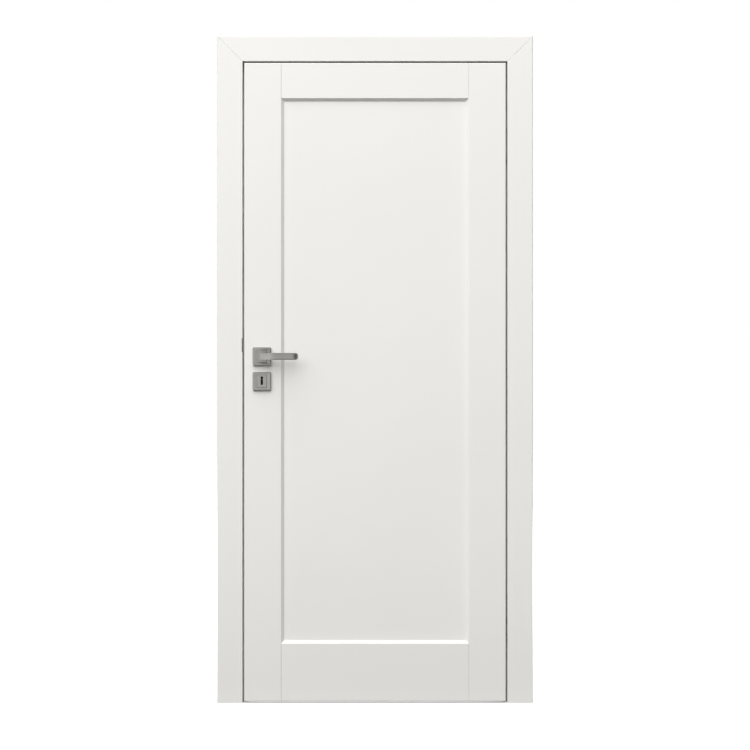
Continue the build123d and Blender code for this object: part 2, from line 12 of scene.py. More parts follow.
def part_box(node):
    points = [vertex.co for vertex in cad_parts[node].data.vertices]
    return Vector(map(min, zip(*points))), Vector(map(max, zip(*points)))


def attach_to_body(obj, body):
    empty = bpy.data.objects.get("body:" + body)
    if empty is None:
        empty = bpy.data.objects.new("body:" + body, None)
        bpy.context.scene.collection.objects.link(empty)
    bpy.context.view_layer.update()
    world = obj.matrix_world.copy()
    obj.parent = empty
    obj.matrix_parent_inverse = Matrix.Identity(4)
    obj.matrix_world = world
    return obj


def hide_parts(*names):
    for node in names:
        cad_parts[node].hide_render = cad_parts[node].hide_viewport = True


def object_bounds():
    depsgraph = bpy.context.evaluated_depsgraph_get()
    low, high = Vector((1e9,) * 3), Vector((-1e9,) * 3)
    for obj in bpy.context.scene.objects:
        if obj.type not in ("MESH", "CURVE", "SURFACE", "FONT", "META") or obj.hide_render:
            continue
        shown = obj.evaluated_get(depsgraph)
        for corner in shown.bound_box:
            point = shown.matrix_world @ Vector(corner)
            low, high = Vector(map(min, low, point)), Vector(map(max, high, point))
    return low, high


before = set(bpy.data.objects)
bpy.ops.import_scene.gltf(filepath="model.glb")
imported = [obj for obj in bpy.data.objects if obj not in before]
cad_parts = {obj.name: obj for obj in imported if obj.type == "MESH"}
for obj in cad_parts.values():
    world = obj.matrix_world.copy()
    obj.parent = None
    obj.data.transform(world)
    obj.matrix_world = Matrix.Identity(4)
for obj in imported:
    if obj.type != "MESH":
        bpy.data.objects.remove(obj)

# The finishes, the small hardware and the studio of an interior door in its wrap-round frame.
# Metres. The viewer stands at -Y, the hinges are at +X and the floor is z = 0.

LOG = logging.getLogger("door")
MM = 0.001
CAD_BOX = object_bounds()

# The point attribute that tells a lever's bar (1) from its hub (0); by it the bar gets painted shade.
GRIP_SHADE = "grip"
# Nearly all of a noise's values lie between these two.
NOISE_LOW, NOISE_HIGH = 0.3, 0.7
# Points of one piece that lie nearer than this are one point.
WELD_DISTANCE = 0.01 * MM
# Edges that turn by more, in degrees, are rounded.
BEVEL_ANGLE = 28.0
# How far large faces outweigh small ones in the normals of rounded edges: 50 is even.
NORMAL_WEIGHT = 60
# The sharp walls of a screw's recess turn by more than this, in degrees.
SCREW_SMOOTH = 32.0

Triple = tuple[float, float, float]
Colour = Triple
Face = tuple[int, ...]


class Slot(Enum):
    """The material slots that the record names."""

    LACQUER = "white_lacquer"
    NICKEL = "satin_nickel"
    STEEL = "lock_steel"
    ZINC = "hinge_zinc"
    SEAL = "seal_strip"


class Body(Enum):
    """The bodies, each of which moves as one, that the scene's own pieces ride on."""

    FRAME = "frame"
    LEAF = "leaf"
    HANDLE = "handle"


class Drive(Enum):
    """The recess in a screw's head."""

    CROSS = "cross"
    HEX = "hex"


@dataclass(frozen=True)
class Zone:
    """A box in which a finish looks different. It is turned about a line along Y through its middle."""

    low: Vector
    high: Vector
    turn: float = 0.0


# Finishes
class Nodes:
    """A material's or the world's node tree while it is being built."""

    def __init__(self, owner: bpy.types.Material | bpy.types.World) -> None:
        """Empty the owner's tree.

        Args:
            owner: whose tree it is.
        """
        owner.use_nodes = True
        self.tree = owner.node_tree
        self.tree.nodes.clear()

    def node(self, kind: str, inputs: dict[str, object] | None = None, **settings: object) -> bpy.types.Node:
        """Add a node.

        Args:
            kind: the node's type.
            inputs: values for its sockets, by socket name.
            settings: values for its own properties.

        Returns:
            The new node.
        """
        node = self.tree.nodes.new(kind)
        for key, value in settings.items():
            setattr(node, key, value)
        for key, value in (inputs or {}).items():
            node.inputs[key].default_value = value
        return node

    def join(self, source: bpy.types.Node, out: str | int, target: bpy.types.Node, into: str | int) -> None:
        """Link one node's output to another's input. A socket is given by its name or its number."""
        self.tree.links.new(source.outputs[out], target.inputs[into])

    def seen(self, *rays: str) -> bpy.types.Node:
        """A mask that is 1 for the kinds of ray that are named.

        Args:
            rays: names of the light path's outputs, two or more.

        Returns:
            The node whose first output is the mask.
        """
        path = self.node("ShaderNodeLightPath")
        found, socket = path, rays[0]
        for ray in rays[1:]:
            either = self.node("ShaderNodeMath", operation="MAXIMUM")
            self.join(found, socket, either, 0)
            self.join(path, ray, either, 1)
            found, socket = either, 0
        return found


class Shader(Nodes):
    """A node material that ends in one Principled shader and reads Object coordinates."""

    def __init__(self, name: str) -> None:
        """Start the material.

        Args:
            name: the material's name.
        """
        self.material = bpy.data.materials.new(name)
        super().__init__(self.material)
        self.principled = self.node("ShaderNodeBsdfPrincipled")
        output = self.node("ShaderNodeOutputMaterial")
        self.join(self.principled, "BSDF", output, "Surface")
        self.place = self.node("ShaderNodeTexCoord")

    def noise(self, per_metre: Triple, detail: float = 2.0, offset: Triple = (0, 0, 0)) -> bpy.types.Node:
        """Add a noise whose grains may be longer one way than another.

        Args:
            per_metre: how many grains go into a metre along X, Y and Z.
            detail: how many finer layers it has.
            offset: a shift, so that two noises differ.

        Returns:
            The noise node, whose Factor output lies about 0.5.
        """
        mapping = self.node("ShaderNodeMapping", {"Scale": per_metre, "Location": offset})
        noise = self.node("ShaderNodeTexNoise", {"Scale": 1.0, "Detail": detail})
        self.join(self.place, "Object", mapping, "Vector")
        self.join(mapping, "Vector", noise, "Vector")
        return noise

    def vary(self, source: bpy.types.Node, socket: str, low: float, high: float) -> None:
        """Drive one of the shader's number sockets between two values.

        Args:
            source: a noise node.
            socket: the shader's socket.
            low: its value where the noise is low.
            high: its value where the noise is high.
        """
        spread = self.node("ShaderNodeMapRange", {"From Min": NOISE_LOW, "From Max": NOISE_HIGH,
                                                  "To Min": low, "To Max": high})
        self.join(source, "Fac", spread, "Value")
        self.join(spread, "Result", self.principled, socket)

    def tint(self, source: bpy.types.Node, colour: Colour, spread: float) -> None:
        """Drive the base colour between two tones of one colour.

        Args:
            source: a noise node.
            colour: the middle tone.
            spread: how much darker and lighter the ends are, as a share.
        """
        ramp = self.node("ShaderNodeValToRGB")
        first, last = ramp.color_ramp.elements
        first.position, last.position = NOISE_LOW, NOISE_HIGH
        first.color = (*scaled(colour, 1 - spread), 1.0)
        last.color = (*scaled(colour, 1 + spread), 1.0)
        self.join(source, "Fac", ramp, "Fac")
        self.join(ramp, "Color", self.principled, "Base Color")

    def over(self, mask: bpy.types.Node, out: str, colour: Colour) -> None:
        """Put another base colour where a mask is 1.

        Args:
            mask: a node that gives 0 to 1.
            out: the name of its output.
            colour: the colour there.
        """
        under = self.principled.inputs["Base Color"].links[0].from_socket
        mix = self.node("ShaderNodeMixRGB", {"Color2": (*colour, 1.0)})
        self.join(mask, out, mix, "Fac")
        self.tree.links.new(under, mix.inputs["Color1"])
        self.join(mix, "Color", self.principled, "Base Color")

    def inside(self, zone: Zone) -> bpy.types.Node:
        """A mask that is 1 inside a zone.

        The zone becomes a cube of side 1 about the origin, where the largest of |x|, |y| and |z| is under
        a half.

        Args:
            zone: the box.

        Returns:
            The node whose Value is the mask.
        """
        mapping = self.node("ShaderNodeMapping", {"Location": (zone.low + zone.high) / 2,
                                                  "Rotation": (0.0, zone.turn, 0.0),
                                                  "Scale": zone.high - zone.low}, vector_type="TEXTURE")
        self.join(self.place, "Object", mapping, "Vector")
        distance = self.node("ShaderNodeVectorMath", operation="ABSOLUTE")
        self.join(mapping, "Vector", distance, "Vector")
        parts = self.node("ShaderNodeSeparateXYZ")
        self.join(distance, "Vector", parts, "Vector")
        pair = self.node("ShaderNodeMath", operation="MAXIMUM")
        self.join(parts, "X", pair, 0)
        self.join(parts, "Y", pair, 1)
        largest = self.node("ShaderNodeMath", operation="MAXIMUM")
        self.join(pair, 0, largest, 0)
        self.join(parts, "Z", largest, 1)
        mask = self.node("ShaderNodeMath", operation="LESS_THAN")
        self.join(largest, 0, mask, 0)
        mask.inputs[1].default_value = 0.5
        return mask

    def relief(self, layers: list[tuple[bpy.types.Node, float]]) -> None:
        """Add fine relief to the shader's normal.

        Args:
            layers: noise nodes, each with its height in metres.
        """
        below = None
        for source, height in layers:
            bump = self.node("ShaderNodeBump", {"Strength": 1.0, "Distance": height})
            self.join(source, "Fac", bump, "Height")
            if below is not None:
                self.join(below, "Normal", bump, "Normal")
            below = bump
        self.join(below, "Normal", self.principled, "Normal")


def scaled(colour: Colour, share: float) -> Colour:
    """A colour made lighter or darker by a factor."""
    return tuple(channel * share for channel in colour)


@dataclass(frozen=True)
class Lacquer:
    """Sprayed satin lacquer on board: a fine orange peel over a broad, faint waviness."""

    name: str
    colour: Colour
    roughness: tuple[float, float] = (0.36, 0.44)
    tone_spread: float = 0.012
    cloud_per_metre: float = 1.7
    peel_per_metre: float = 620.0
    peel_height: float = 0.012 * MM
    wave_per_metre: float = 22.0
    wave_height: float = 0.06 * MM
    wave_offset: Triple = (3.1, 0.4, 1.7)
    # Near black: the raw board in the bores, darkened to painted shade.
    raw_board_shade_colour: Colour = (0.05, 0.04, 0.03)
    # A dark line painted in the grooves of joints and mitres: painted shade.
    joint_shade_colour: Colour = (0.14, 0.135, 0.12)

    def material(self, part: str = "", raw: Sequence[Zone] = (),
                 joints: Sequence[Zone] = ()) -> bpy.types.Material:
        """The lacquer as a node material.

        Args:
            part: what is added to the name of a variant.
            raw: the zones in which bores show raw board, darkened to painted shade.
            joints: the zones in which the grooves of joints lie, where a dark line of painted shade goes.

        Returns:
            The material.
        """
        shader = Shader(self.name + part)
        cloud = shader.noise((self.cloud_per_metre,) * 3, 3.0)
        wave = shader.noise((self.wave_per_metre,) * 3, 1.0, self.wave_offset)
        peel = shader.noise((self.peel_per_metre,) * 3, 2.0)
        shader.tint(cloud, self.colour, self.tone_spread)
        # Painted shade: raw board in the bores, near black.
        for zone in raw:
            shader.over(shader.inside(zone), "Value", self.raw_board_shade_colour)
        # Painted shade in the grooves of the joints.
        for zone in joints:
            shader.over(shader.inside(zone), "Value", self.joint_shade_colour)
        shader.vary(wave, "Roughness", *self.roughness)
        shader.relief([(wave, self.wave_height), (peel, self.peel_height)])
        return shader.material


@dataclass(frozen=True)
class SatinMetal:
    """Metal that is finely brushed along one axis, with faint clouds in its sheen. A lever's bar can take a
    darker colour than its hub: painted shade.
    """

    name: str
    colour: Colour
    roughness: tuple[float, float]
    grain: Triple
    grain_height: float = 0.004 * MM
    cloud_per_metre: float = 60.0
    cloud_offset: Triple = (2.3, 5.1, 0.9)
    tone_spread: float = 0.05
    metallic: float = 0.8
    # A darker colour painted on a lever's bar while the hub stays lighter: painted shade for the bar turned
    # from the light.
    grip_shade_colour: Colour | None = None

    def material(self, dark: tuple[Zone, Colour] | None = None) -> bpy.types.Material:
        """The metal as a node material.

        Args:
            dark: a zone painted another colour as shade, and that colour, if there is one.

        Returns:
            The material.
        """
        shader = Shader(self.name)
        shader.principled.inputs["Metallic"].default_value = self.metallic
        grain = shader.noise(self.grain, 3.0)
        cloud = shader.noise((self.cloud_per_metre,) * 3, 4.0, self.cloud_offset)
        shader.tint(grain, self.colour, self.tone_spread)
        # Painted shade: the lever's bar is darker than its hub.
        if self.grip_shade_colour is not None:
            grip = shader.node("ShaderNodeAttribute", attribute_name=GRIP_SHADE)
            shader.over(grip, "Fac", self.grip_shade_colour)
        # Painted shade in the zone.
        if dark is not None:
            shader.over(shader.inside(dark[0]), "Value", dark[1])
        shader.vary(cloud, "Roughness", *self.roughness)
        shader.relief([(grain, self.grain_height)])
        return shader.material


@dataclass(frozen=True)
class Moulded:
    """A cast or drawn surface: a fine pebble or fine lines, with faint clouds in its tone and sheen."""

    name: str
    colour: Colour
    roughness: tuple[float, float]
    tone_spread: float
    cloud_per_metre: float
    grain: Triple
    grain_height: float
    metallic: float = 0.0

    def material(self) -> bpy.types.Material:
        """The surface as a node material.

        Returns:
            The material.
        """
        shader = Shader(self.name)
        shader.principled.inputs["Metallic"].default_value = self.metallic
        grain = shader.noise(self.grain, 2.0)
        cloud = shader.noise((self.cloud_per_metre,) * 3, 3.0)
        shader.tint(cloud, self.colour, self.tone_spread)
        shader.vary(cloud, "Roughness", *self.roughness)
        shader.relief([(grain, self.grain_height)])
        return shader.material


WHITE = Lacquer("lacquer_white", (0.82, 0.813, 0.780))
# The bar's darker second colour is painted shade on the lever's bar.
NICKEL_BAR = SatinMetal("nickel_bar", (0.333, 0.328, 0.314), (0.36, 0.46), (90.0, 2600.0, 2600.0),
                        grip_shade_colour=(0.252, 0.248, 0.237))
NICKEL_ROSE = SatinMetal("nickel_rose", (0.302, 0.298, 0.285), (0.38, 0.48), (2600.0, 2600.0, 90.0))
EDGE_STEEL = SatinMetal("edge_steel", (0.36, 0.355, 0.345), (0.28, 0.38), (2600.0, 2600.0, 70.0))
# Near black inside the lock case: the case's dark steel, darkened to painted shade so that the keyhole reads
# dark.
LOCK_INSIDE_SHADE: Colour = (0.012, 0.012, 0.012)
SCREW_STEEL = SatinMetal("screw_steel", (0.52, 0.515, 0.50), (0.22, 0.32), (1500.0,) * 3)
HINGE_CAST = Moulded("hinge_cast", (0.46, 0.46, 0.455), (0.38, 0.5), 0.06, 45.0, (900.0,) * 3, 0.01 * MM,
                     metallic=0.85)
SEAL_GREY = Moulded("seal_grey", (0.60, 0.595, 0.57), (0.55, 0.7), 0.05, 25.0, (1400.0, 1400.0, 30.0),
                    0.02 * MM)
# Near black: the collars' bush, darkened to painted shade for the gap round the spindle, and the keyhole's
# painted shade sheet.
BUSH_AND_SHADE_BLACK = replace(SEAL_GREY, name="bush_and_shade_black", colour=(0.012, 0.012, 0.012))


# Meshes
def middle_of(node: str) -> Vector:
    """The middle of a carried-over piece's box."""
    return sum(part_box(node), Vector()) / 2


def to_mesh(name: str, points: np.ndarray, faces: list[Face], smooth_angle: float = 35.0) -> bpy.types.Object:
    """Put arrays of points and faces into a new object.

    Args:
        name: the object's name.
        points: an array of shape (n, 3).
        faces: tuples of point numbers.
        smooth_angle: edges that turn by less, in degrees, are shaded smooth.

    Returns:
        The object, at the origin.
    """
    mesh = bpy.data.meshes.new(name)
    mesh.from_pydata(points.tolist(), [], faces)
    mesh.validate()
    mesh.shade_smooth()
    mesh.set_sharp_from_angle(angle=math.radians(smooth_angle))
    obj = bpy.data.objects.new(name, mesh)
    bpy.context.scene.collection.objects.link(obj)
    return obj


def grid_faces(rows: int, columns: int, closed: bool) -> list[Face]:
    """The quads of a grid whose points are numbered row by row.

    Args:
        rows: how many rows of points there are.
        columns: how many points are in a row.
        closed: whether the last point of a row joins the first.

    Returns:
        The four point numbers of each face.
    """
    across = np.arange(columns if closed else columns - 1)
    row, column = np.meshgrid(np.arange(rows - 1), across, indexing="ij")
    beside = (column + 1) % columns
    near, far = row * columns, (row + 1) * columns
    quads = np.stack([near + column, near + beside, far + beside, far + column], axis=-1).reshape(-1, 4)
    return [tuple(quad) for quad in quads.tolist()]


def smooth_step(value: np.ndarray, start: float, end: float) -> np.ndarray:
    """A soft step from 0 to 1: three times the square less twice the cube of the share of the way.

    Args:
        value: the values to look at.
        start: where the step starts.
        end: where it ends.

    Returns:
        The step's height at each value.
    """
    share = np.clip((value - start) / (end - start), 0.0, 1.0)
    return share * share * (3.0 - 2.0 * share)


@dataclass
class Screw:
    """A screw's head as it shows in the surface that it is driven into.

    The head is a disc that a square grid is bent into. Its height is a dome, which falls with the square of
    the distance from the axis, and the recess is taken out of it. A skirt below the rim closes it. The
    recess's limits are shares of the radius: where its wall starts to rise and where it ends.
    """

    at: Vector
    facing: Vector
    radius: float = 3.3 * MM
    proud: float = 0.35 * MM
    recess: float = 1.6 * MM
    drive: Drive = Drive.CROSS
    turn: float = 0.0
    dome_fall: float = 0.7
    skirt: float = 2.2
    arm_half: tuple[float, float] = (0.15, 0.19)
    arm_reach: tuple[float, float] = (0.3, 0.62)
    hex_half: tuple[float, float] = (0.46, 0.54)
    lines_between: tuple[float, ...] = (0.44, 0.56, 0.72, 0.84, 0.93)

    def lines(self) -> np.ndarray:
        """Grid lines that lie on the recess's walls and are dense there.

        Returns:
            Their places, from -1 to 1.
        """
        half = np.sort([0.0, self.arm_half[0] / 2, *self.arm_half, *self.arm_reach, *self.lines_between, 1.0])
        return np.concatenate([-half[:0:-1], half])

    def cross_depth(self, u: np.ndarray, v: np.ndarray) -> np.ndarray:
        """How deep a cross recess is: two arms that cross, each deepest in the middle.

        Args:
            u: the points' place across the first arm, from -1 to 1.
            v: the points' place across the second arm.

        Returns:
            The depth as a share of the whole recess.
        """
        arm = 1.0 - smooth_step(np.abs(u), *self.arm_half)
        other = 1.0 - smooth_step(np.abs(v), *self.arm_half)
        along = 1.0 - smooth_step(np.abs(v), *self.arm_reach)
        across = 1.0 - smooth_step(np.abs(u), *self.arm_reach)
        return np.maximum(arm * along, other * across)

    def hex_depth(self, x: np.ndarray, y: np.ndarray) -> np.ndarray:
        """How deep a hexagonal socket is: full where a point is within a half width of all three axes.

        Args:
            x: the points' place on the disc, whose radius is 1.
            y: the same, square to x.

        Returns:
            The depth as a share of the whole recess.
        """
        angles = np.radians([0.0, 60.0, 120.0])
        reach = np.max([np.abs(x * np.cos(a) + y * np.sin(a)) for a in angles], axis=0)
        return 1.0 - smooth_step(reach, *self.hex_half)

    def arrays(self) -> tuple[np.ndarray, list[Face]]:
        """The head's points and faces.

        A square grid of lines u and v becomes a disc: x is u times the root of 1 less half v squared, and y
        is v times the root of 1 less half u squared.

        Returns:
            The points where the screw sits, and the faces.
        """
        line = self.lines()
        count = len(line)
        u, v = np.meshgrid(line, line, indexing="ij")
        x = u * np.sqrt(1.0 - v * v / 2.0)
        y = v * np.sqrt(1.0 - u * u / 2.0)
        depth = self.cross_depth(u, v) if self.drive is Drive.CROSS else self.hex_depth(x, y)
        dome = self.proud * (1.0 - self.dome_fall * (x * x + y * y))
        height = dome - self.recess * depth
        top = np.stack([x * self.radius, y * self.radius, height], axis=-1).reshape(-1, 3)
        number = np.arange(count * count).reshape(count, count)
        rim = np.concatenate([number[:-1, 0], number[-1, :-1], number[:0:-1, -1], number[0, :0:-1]])
        skirt = top[rim] * (1.0, 1.0, 0.0) + (0.0, 0.0, -self.skirt * self.recess)
        ring = np.arange(len(rim)) + len(top)
        faces = grid_faces(count, count, False)
        sides = np.stack([np.roll(rim, -1), rim, ring, np.roll(ring, -1)], axis=-1)
        faces += [tuple(side) for side in sides.tolist()]
        faces.append(tuple(ring.tolist()))
        spin = Matrix.Rotation(math.radians(self.turn), 3, "Z")
        basis = np.array(self.facing.to_track_quat("Z", "Y").to_matrix() @ spin)
        return np.concatenate([top, skirt]) @ basis.T + np.array(self.at), faces


def screw_set(name: str, screws: list[Screw]) -> bpy.types.Object:
    """Join several screws' heads in one object.

    Args:
        name: the object's name.
        screws: the screws.

    Returns:
        The object.
    """
    points: list[np.ndarray] = []
    faces: list[Face] = []
    total = 0
    for screw in screws:
        own, own_faces = screw.arrays()
        points.append(own)
        faces += [tuple(index + total for index in face) for face in own_faces]
        total += len(own)
    return to_mesh(name, np.concatenate(points), faces, SCREW_SMOOTH)


def rounded_chain(corners: np.ndarray, radii: list[float], steps: list[int], arc_steps: int) -> np.ndarray:
    """Points along a chain of straight runs whose inner corners are arcs.

    Each arc touches both of its runs: it starts before the corner by its radius times the tangent of half the
    turn, and its points are that start turned about its centre in even steps.

    Args:
        corners: the chain's corners, of shape (n, 2).
        radii: the radius at each inner corner, 0 for none.
        steps: how many points each straight run has.
        arc_steps: how many points each arc has.

    Returns:
        The points, of shape (m, 2).
    """
    start = corners[0]
    parts: list[np.ndarray] = []
    for index, radius in enumerate(radii, start=1):
        before = corners[index] - corners[index - 1]
        after = corners[index + 1] - corners[index]
        before, after = before / np.linalg.norm(before), after / np.linalg.norm(after)
        sweep = math.atan2(before[0] * after[1] - before[1] * after[0], float(before @ after))
        cut = radius * math.tan(abs(sweep) / 2)
        touch = corners[index] - before * cut
        share = np.linspace(0.0, 1.0, steps[index - 1], endpoint=False)[:, None]
        parts.append(start + (touch - start) * share)
        side = np.array([-before[1], before[0]]) * math.copysign(1.0, sweep)
        centre = touch + side * radius
        angle = np.linspace(0.0, sweep, arc_steps, endpoint=False)
        arm = touch - centre
        turned = np.stack([arm[0] * np.cos(angle) - arm[1] * np.sin(angle),
                           arm[0] * np.sin(angle) + arm[1] * np.cos(angle)], axis=-1)
        parts.append(centre + turned)
        start = corners[index] + after * cut
    share = np.linspace(0.0, 1.0, steps[-1])[:, None]
    parts.append(start + (corners[-1] - start) * share)
    return np.concatenate(parts)


# Sub-assemblies
def dress(node: str, material: bpy.types.Material) -> bpy.types.Object:
    """Give a carried-over piece its material.

    Args:
        node: the piece's name.
        material: its material.

    Returns:
        The piece's object.
    """
    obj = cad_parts[node]
    obj.data.materials.clear()
    obj.data.materials.append(material)
    LOG.info("%s is dressed in %s", node, material.name)
    return obj


def attach(obj: bpy.types.Object, material: bpy.types.Material, body: Body) -> bpy.types.Object:
    """Give a new piece its material and body.

    Args:
        obj: the piece.
        material: its material.
        body: what it rides on.

    Returns:
        The piece.
    """
    obj.data.materials.clear()
    obj.data.materials.append(material)
    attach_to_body(obj, body.value)
    LOG.info("%s rides on %s, %d faces", obj.name, body.value, len(obj.data.polygons))
    return obj


def soften(obj: bpy.types.Object, width: float, segments: int = 2) -> None:
    """Round a carried-over piece's sharp edges a little, without touching its mesh.

    Args:
        obj: the piece.
        width: the bevel's width in metres.
        segments: how many faces each rounded edge has.
    """
    weld = obj.modifiers.new("weld", "WELD")
    weld.merge_threshold = WELD_DISTANCE
    bevel = obj.modifiers.new("edges", "BEVEL")
    bevel.width = width
    bevel.segments = segments
    bevel.limit_method = "ANGLE"
    bevel.angle_limit = math.radians(BEVEL_ANGLE)
    bevel.use_clamp_overlap = True
    normals = obj.modifiers.new("normals", "WEIGHTED_NORMAL")
    normals.keep_sharp = False
    normals.weight = NORMAL_WEIGHT


@dataclass
class DoorFrame:
    """Casings, linings, seals and rear casings. The front casing's mitres show as hairlines of painted shade.
    """

    sides: tuple[str, ...] = ("hinge", "latch", "head")
    casing_width: float = 80.0 * MM
    mitre_width: float = 0.3 * MM

    def mitres(self) -> list[Zone]:
        """The zones of both mitre lines of the front casing, where hairlines of shade are painted.

        Each is a thin level board whose middle is half a casing's width in from the top corner and as far
        down from it, turned by 45 degrees so that it runs from the outer corner to the inner one.

        Returns:
            The zones, the latch side's first.
        """
        low, high = (Vector(corner) for corner in CAD_BOX)
        half = self.casing_width / 2
        reach = Vector((half * math.sqrt(2.0), high.y - low.y, self.mitre_width / 2))
        zones = []
        for x, turn in ((low.x + half, math.pi / 4), (high.x - half, -math.pi / 4)):
            middle = Vector((x, 0.0, high.z - half))
            zones.append(Zone(middle - reach, middle + reach, turn))
        return zones

    def build(self, white: Lacquer, plain: bpy.types.Material, rubber: bpy.types.Material) -> None:
        """Dress the frame's pieces.

        Args:
            white: the lacquer's finish, of which the jambs take a variant with mitre lines of painted shade.
            plain: its plain material.
            rubber: the seals' material.
        """
        mitred = white.material("_mitred", joints=self.mitres())
        for side in self.sides:
            dress(f"{side}_jamb", mitred)
            dress(f"{side}_rear_casing", plain)
            dress(f"{side}_seal", rubber)


@dataclass
class Leaf:
    """The leaf's stiles, rails and panel.

    The grooves of the joints between stiles and rails get a dark line of painted shade. Behind a film on both
    faces, the bores for
    spindle and key are painted near black: raw board, darkened to painted shade.
    """

    film: float = 1.0 * MM
    bore_half: float = 16.0 * MM
    joint_width: float = 1.3 * MM
    stile_width: float = 116.0 * MM

    def joints(self) -> list[Zone]:
        """The zones round both ends of the rails, where the grooves of the joints lie and a dark line of
        painted shade goes.

        Returns:
            The zones, the latch side's first.
        """
        low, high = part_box("top_rail")
        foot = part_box("bottom_rail")[0].z
        reach = Vector((self.joint_width, high.y - low.y, high.z - foot))
        zones = []
        left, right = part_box("latch_stile")[0].x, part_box("hinge_stile")[1].x
        for x in (left + self.stile_width, right - self.stile_width):
            zones.append(Zone(Vector((x, low.y, foot)) - reach, Vector((x, high.y, high.z)) + reach))
        return zones

    def bores(self) -> Zone:
        """The zone of the bores for spindle and key, between the leaf's lacquered faces, where raw board is
        darkened to painted shade.

        Returns:
            The zone.
        """
        low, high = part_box("latch_stile")
        axis = middle_of("spindle").x
        bottom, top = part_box("front_key_rose")[0].z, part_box("front_handle_rose")[1].z
        return Zone(Vector((axis - self.bore_half, low.y + self.film, bottom)),
                    Vector((axis + self.bore_half, high.y - self.film, top)))

    def build(self, white: Lacquer, plain: bpy.types.Material) -> None:
        """Dress the leaf's pieces.

        Args:
            white: the lacquer's finish, of which the rails take a variant with painted shade in their joints
                and the bored stile one with painted shade in its bores.
            plain: its plain material.
        """
        jointed = white.material("_jointed", joints=self.joints())
        bored = white.material("_bored", raw=[self.bores()])
        for node, material in (("hinge_stile", plain), ("latch_stile", bored), ("panel", plain),
                               ("top_rail", jointed), ("bottom_rail", jointed)):
            dress(node, material)


@dataclass
class Hinges:
    """Both concealed hinges: housings, arms, and the screws that hold and set them.

    The screws' places are measured from a housing's ends.
    """

    heights: tuple[str, ...] = ("lower", "upper")
    screw_from_end: float = 8.0 * MM
    screw_turn: float = 20.0
    setting_from_end: float = 15.6 * MM
    setting_radius: float = 2.0 * MM
    setting_proud: float = 0.1 * MM
    setting_turn: float = 12.0
    cup_round: float = 0.5 * MM
    arm_round: float = 0.4 * MM

    def screws(self, cup: str, facing: Vector) -> list[Screw]:
        """The screws in one housing's face: a wood screw and a setting screw at each end.

        Args:
            cup: the housing's node.
            facing: the direction that its face looks.

        Returns:
            The screws.
        """
        low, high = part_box(cup)
        face = high.x if facing.x > 0 else low.x
        middle = (low.y + high.y) / 2
        found = []
        for end, inwards in ((low.z, 1.0), (high.z, -1.0)):
            place = Vector((face, middle, end + inwards * self.screw_from_end))
            found.append(Screw(place, facing, turn=self.screw_turn * inwards))
            place = Vector((face, middle, end + inwards * self.setting_from_end))
            found.append(Screw(place, facing, radius=self.setting_radius, drive=Drive.HEX,
                               proud=self.setting_proud, turn=self.setting_turn))
        return found

    def build(self, cast: bpy.types.Material, steel: bpy.types.Material) -> None:
        """Dress the hinges and add their screws.

        Args:
            cast: the housings' and arms' material.
            steel: the screws' material.
        """
        for height in self.heights:
            for side, facing, body in (("frame", -1.0, Body.FRAME), ("leaf", 1.0, Body.LEAF)):
                cup = f"{height}_hinge_{side}_cup"
                soften(dress(cup, cast), self.cup_round)
                heads = screw_set(f"{cup}_screws", self.screws(cup, Vector((facing, 0.0, 0.0))))
                attach(heads, steel, body)
            soften(dress(f"{height}_hinge_arms", cast), self.arm_round)


@dataclass
class LockSet:
    """Lock, bolts and strike plate, with the screws of faceplate and strike.

    The screws' places are measured from a plate's lower and upper end. They stand off their plate by a hair's
    lift, and the strike's screwed face lies at a depth behind the edge of its lip.
    """

    faceplate_ends: tuple[float, float] = (6.5 * MM, 4.6 * MM)
    faceplate_turns: tuple[float, float] = (30.0, 80.0)
    edge_bevel: float = 1.2 * MM
    strike_ends: tuple[float, float] = (7.0 * MM, 5.2 * MM)
    strike_middle: float = 96.0 * MM
    strike_turns: tuple[float, float, float] = (15.0, 50.0, 85.0)
    strike_line: float = 11.0 * MM
    strike_depth: float = 3.5 * MM
    lift: float = 0.05 * MM
    plate: float = 4.5 * MM
    edge_round: float = 0.3 * MM

    def inside(self) -> Zone:
        """The zone of the lock's case behind its faceplate, which is painted near black as shade.

        Returns:
            The zone.
        """
        low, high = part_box("lock_case")
        return Zone(low + Vector((self.plate, 0.0, 0.0)), high + Vector((self.plate, 0.0, 0.0)))

    def faceplate_screws(self) -> list[Screw]:
        """A screw near each end of the faceplate, square to the leaf's bevelled edge.

        Returns:
            The screws, from the lowest up.
        """
        low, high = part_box("lock_case")
        middle = (low.y + high.y) / 2
        stile_low, stile_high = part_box("latch_stile")
        slope = self.edge_bevel / (stile_high.y - stile_low.y)
        face = stile_low.x + (middle - stile_low.y) * slope
        facing = Vector((-1.0, slope, 0.0)).normalized()
        heights = (low.z + self.faceplate_ends[0], high.z - self.faceplate_ends[1])
        return [Screw(Vector((face - self.lift, middle, z)), facing, turn=turn)
                for z, turn in zip(heights, self.faceplate_turns)]

    def strike_screws(self) -> list[Screw]:
        """Three screws down the strike plate.

        Returns:
            The screws, the lowest first, then the middle one.
        """
        low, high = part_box("strike_plate")
        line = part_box("lock_case")[0].y + self.strike_line
        face = high.x - self.strike_depth + self.lift
        heights = (low.z + self.strike_ends[0], low.z + self.strike_middle, high.z - self.strike_ends[1])
        return [Screw(Vector((face, line, z)), Vector((1.0, 0.0, 0.0)), turn=turn)
                for z, turn in zip(heights, self.strike_turns)]

    def build(self, case: bpy.types.Material, steel: bpy.types.Material, screw: bpy.types.Material) -> None:
        """Dress the lock and add its screws.

        Args:
            case: the lock case's material, painted near black as shade behind its faceplate.
            steel: the strike plate's and bolts' material.
            screw: the screws' material.
        """
        soften(dress("lock_case", case), self.edge_round)
        for node in ("strike_plate", "latch_bolt", "dead_bolt"):
            soften(dress(node, steel), self.edge_round)
        attach(screw_set("faceplate_screws", self.faceplate_screws()), screw, Body.LEAF)
        attach(screw_set("strike_plate_screws", self.strike_screws()), screw, Body.FRAME)


